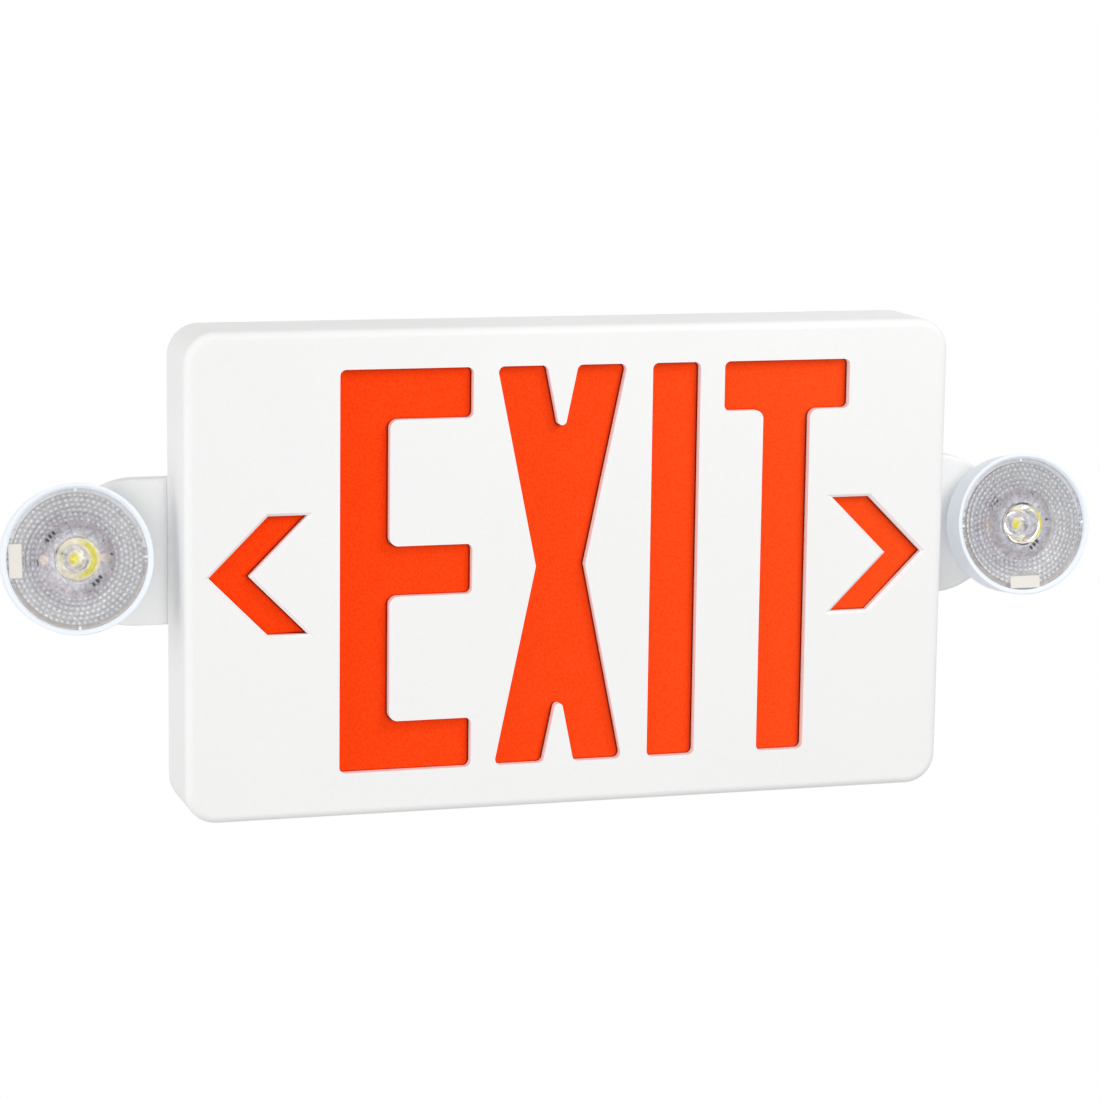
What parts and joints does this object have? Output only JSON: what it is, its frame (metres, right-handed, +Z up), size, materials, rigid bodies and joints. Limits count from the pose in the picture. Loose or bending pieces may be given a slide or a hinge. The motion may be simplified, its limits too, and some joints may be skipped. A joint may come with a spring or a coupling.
{
  "type": "emergency exit light",
  "caption": "Wall-mounted lit exit sign: a cut-out legend cover over a translucent red panel, with adjustable emergency lamp heads on side arms and a battery and control board inside.",
  "frame": {"origin": "centre of the round cable entry in the housing's back face, which lies on the wall", "axes": "+X to the right as seen from the front, +Y from the legend back to the wall, +Z up"},
  "size_m": [0.432, 0.042, 0.186],
  "materials": {
    "cover_plastic": "fine satin",
    "housing_plastic": "fine satin",
    "lamp_plastic": "fine satin",
    "red_diffuser": "translucent, lit from behind",
    "clear_lens": "clear moulded plastic",
    "yellow_led": "phosphor under a clear dome",
    "circuit_board": "white solder mask",
    "red_led": "clear moulded",
    "green_led": "clear moulded",
    "pilot_lens": "clear green",
    "steel_screw": "zinc plated",
    "core_steel": "varnished laminations",
    "coil_tape": "taped",
    "black_plastic": "moulded",
    "capacitor_sleeve": "shrink sleeve",
    "terminal_green": "moulded",
    "battery_wrap": "shrink sleeve",
    "strap_steel": "zinc plated",
    "button_plastic": "moulded",
    "spring_steel": "bright wire"
  },
  "bodies": {
    "sign": {"front_cover": "cover_plastic", "diffuser_panel": "red_diffuser", "housing": "housing_plastic", "legend_board_upper": "circuit_board", "legend_board_lower": "circuit_board", "legend_leds": "red_led", "legend_board_screws": "steel_screw", "control_board": "circuit_board", "control_board_screws": "steel_screw", "transformer_core": "core_steel", "transformer_coil": "coil_tape", "relay": "black_plastic", "capacitors": "capacitor_sleeve", "terminal_block": "terminal_green", "battery_pack": "battery_wrap", "battery_strap": "strap_steel", "battery_strap_screws": "steel_screw", "switch_board": "circuit_board", "test_switch": "black_plastic", "test_spring": "spring_steel", "pilot_lens": "pilot_lens", "pilot_led": "green_led", "lamp_arm_left": "lamp_plastic", "arm_screws_left": "steel_screw", "lamp_arm_right": "lamp_plastic", "arm_screws_right": "steel_screw"},
    "swivel_left": {"swivel_fork_left": "lamp_plastic", "tilt_pin_left": "steel_screw", "swivel_ring_left": "spring_steel"},
    "lamp_left": {"lamp_shell_left": "lamp_plastic", "lamp_lens_left": "clear_lens", "lamp_board_left": "circuit_board", "lamp_led_left": "yellow_led", "lamp_board_screws_left": "steel_screw"},
    "swivel_right": {"swivel_fork_right": "lamp_plastic", "tilt_pin_right": "steel_screw", "swivel_ring_right": "spring_steel"},
    "lamp_right": {"lamp_shell_right": "lamp_plastic", "lamp_lens_right": "clear_lens", "lamp_board_right": "circuit_board", "lamp_led_right": "yellow_led", "lamp_board_screws_right": "steel_screw"},
    "button": {"test_button": "button_plastic"}
  },
  "joints": [
    {"name": "swivel_left", "type": "hinge", "parent": "sign", "child": "swivel_left", "pos_m": [-0.188, -0.0126, 0.0055], "axis": [0, -1, 0], "range_deg": [-165, 165]},
    {"name": "tilt_left", "type": "hinge", "parent": "swivel_left", "child": "lamp_left", "pos_m": [-0.188, -0.0126, 0.0055], "axis": [-1, 0, 0], "range_deg": [-31, 13]},
    {"name": "swivel_right", "type": "hinge", "parent": "sign", "child": "swivel_right", "pos_m": [0.188, -0.0126, 0.0055], "axis": [0, -1, 0], "range_deg": [-165, 165]},
    {"name": "tilt_right", "type": "hinge", "parent": "swivel_right", "child": "lamp_right", "pos_m": [0.188, -0.0126, 0.0055], "axis": [-1, 0, 0], "range_deg": [-31, 13]},
    {"name": "test_press", "type": "slide", "parent": "sign", "child": "button", "axis": [0, 0, 1], "range_m": [0, 0.0025], "stiffness_N_per_m": 400, "springref_m": -0.003, "deforming": ["test_spring"]}
  ]
}
